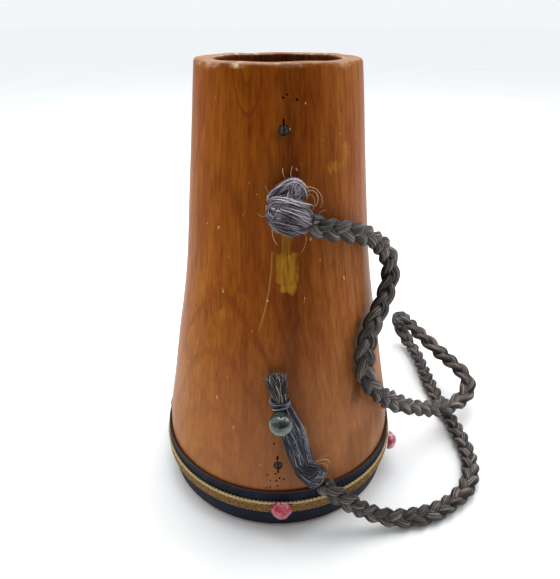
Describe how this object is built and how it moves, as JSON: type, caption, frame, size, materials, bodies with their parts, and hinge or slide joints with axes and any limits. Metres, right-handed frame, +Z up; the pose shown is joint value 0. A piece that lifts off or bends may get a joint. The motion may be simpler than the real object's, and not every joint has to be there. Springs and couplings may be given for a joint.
{
  "type": "wooden cup with braided cord",
  "caption": "Tall flared wooden cup, ribbon and glass cabochons round its foot, with a braided horsehair cord pinned to its front.",
  "frame": {"origin": "centre of the cup's foot, on the surface it stands on", "axes": "+Z up along the cup's axis, -Y out of the front, where the two pins and the cord ends are, +X to the viewer's right"},
  "size_m": [0.1723, 0.1615, 0.19],
  "materials": {
    "varnished_wood": "worn satin varnish over vertical grain",
    "bottom_wood": "bare aged wood",
    "navy_ribbon": "matt woven ribbon",
    "gold_trim": "ribbed woven trim of gilt thread",
    "red_glass": "polished, lightly bubbled",
    "green_glass": "polished",
    "pin_steel": "dull",
    "peg_wood": "weathered end grain",
    "horsehair": "three-strand braid of coarse hair"
  },
  "bodies": {
    "root": {"cup_body": "varnished_wood", "base_disc": "bottom_wood", "ribbon_band": "navy_ribbon", "gold_trim": "gold_trim", "cabochon_front": "red_glass", "cabochon_right": "red_glass", "cabochon_back": "red_glass", "cabochon_left": "red_glass", "upper_pin_shank": "pin_steel", "upper_pin_head": "green_glass", "lower_pin_shank": "pin_steel", "lower_pin_head": "green_glass", "upper_peg": "peg_wood", "lower_peg": "peg_wood", "upper_knot": "horsehair", "cord_braid": "horsehair", "whipping": "horsehair", "cord_tail": "horsehair", "hair_wrap": "horsehair", "brush_end": "horsehair"}
  },
  "joints": []
}
